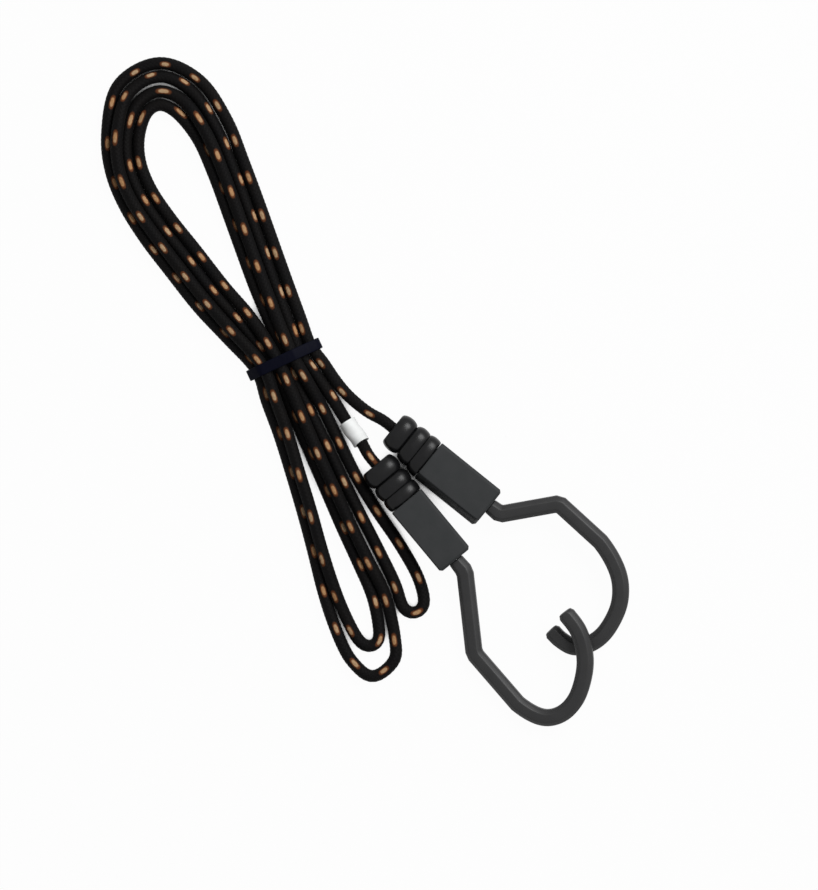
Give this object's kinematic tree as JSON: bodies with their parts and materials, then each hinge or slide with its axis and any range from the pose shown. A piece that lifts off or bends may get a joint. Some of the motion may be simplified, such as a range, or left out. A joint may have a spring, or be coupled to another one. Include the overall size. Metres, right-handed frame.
{
  "type": "bungee cord",
  "caption": "Round elastic cord folded into a flat hank and held by a thin tie, with a blocky plastic grip, ribbed sleeve and coated swivelling hook at each end",
  "frame": {"origin": "centre of the flat underside of the upper hook's grip", "axes": "X to the picture's right, Y up in the picture, Z up from the surface that the folded cord lies on"},
  "size_m": [0.2372, 0.3007, 0.0165],
  "materials": {
    "sheath": "dense black braid with small orange flecks in pairs",
    "core": "black braid over rubber strands",
    "grip": "moulded, matte dark grey",
    "sleeve": "soft black rubber with a low gloss",
    "coating": "satin dark plastic",
    "steel": "plain drawn wire",
    "tie": "thin black strip with a slight gloss",
    "label": "plain white tape"
  },
  "bodies": {
    "folded_cord": {"cord_hank": "sheath", "cord_lead_upper": "sheath", "cord_lead_lower": "sheath", "label_band": "label", "hank_tie": "tie", "cord_core_upper": "core", "crimp_ferrule_upper": "steel", "ribbed_sleeve_upper": "sleeve", "grip_shell_top_upper": "grip", "grip_shell_bottom_upper": "grip", "swivel_washer_upper": "steel", "cord_core_lower": "core", "crimp_ferrule_lower": "steel", "ribbed_sleeve_lower": "sleeve", "grip_shell_top_lower": "grip", "grip_shell_bottom_lower": "grip", "swivel_washer_lower": "steel"},
    "upper_hook": {"hook_coating_upper": "coating", "hook_wire_upper": "steel"},
    "lower_hook": {"hook_coating_lower": "coating", "hook_wire_lower": "steel"}
  },
  "joints": [
    {"name": "upper_hook_swivel", "type": "hinge", "parent": "folded_cord", "child": "upper_hook", "pos_m": [0.01344, -0.01081, 0.0079], "axis": [0.7793, -0.6266, 0], "range_deg": [0, 90]},
    {"name": "lower_hook_swivel", "type": "hinge", "parent": "folded_cord", "child": "lower_hook", "pos_m": [-0.00202, -0.03507, 0.00802], "axis": [0.6388, -0.7694, 0.0035], "range_deg": [0, 90]}
  ]
}
